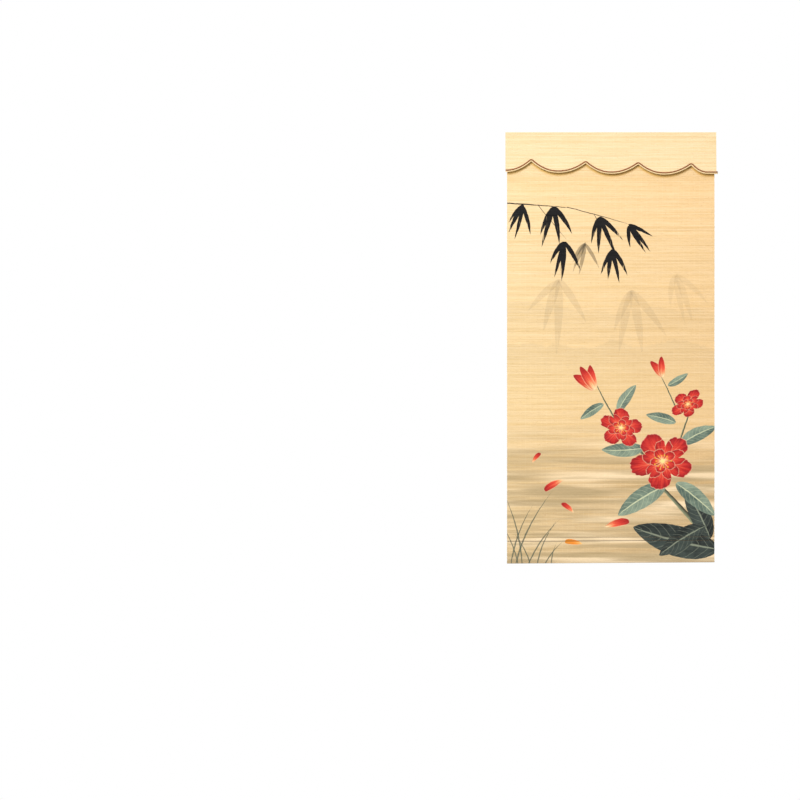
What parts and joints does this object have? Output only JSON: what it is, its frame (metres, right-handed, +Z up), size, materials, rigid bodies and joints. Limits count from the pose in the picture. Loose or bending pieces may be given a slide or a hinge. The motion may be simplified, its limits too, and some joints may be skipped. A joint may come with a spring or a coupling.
{
  "type": "roll-up blind",
  "caption": "Flat roll-up blind of woven bamboo sticks, hanging at rest, with a scalloped valance over its top edged by a two-tone cord, and a stitched bottom hem.",
  "frame": {"origin": "middle of the cloth's top edge, at half its thickness, where the blind is fastened and hangs", "axes": "+X to the right as the front is seen, -Y out of the front, +Z up"},
  "size_m": [0.8051, 0.0237, 1.635],
  "materials": {
    "bamboo_cloth": "woven bamboo sticks, satin, printed",
    "valance_cloth": "woven bamboo sticks, satin, unprinted",
    "brown_braid": "twisted cotton cord, matt",
    "cream_braid": "cotton-covered piping, matt"
  },
  "bodies": {
    "root": {"blind_cloth": "bamboo_cloth", "valance": "valance_cloth", "brown_cord": "brown_braid", "cream_piping": "cream_braid"}
  },
  "joints": []
}
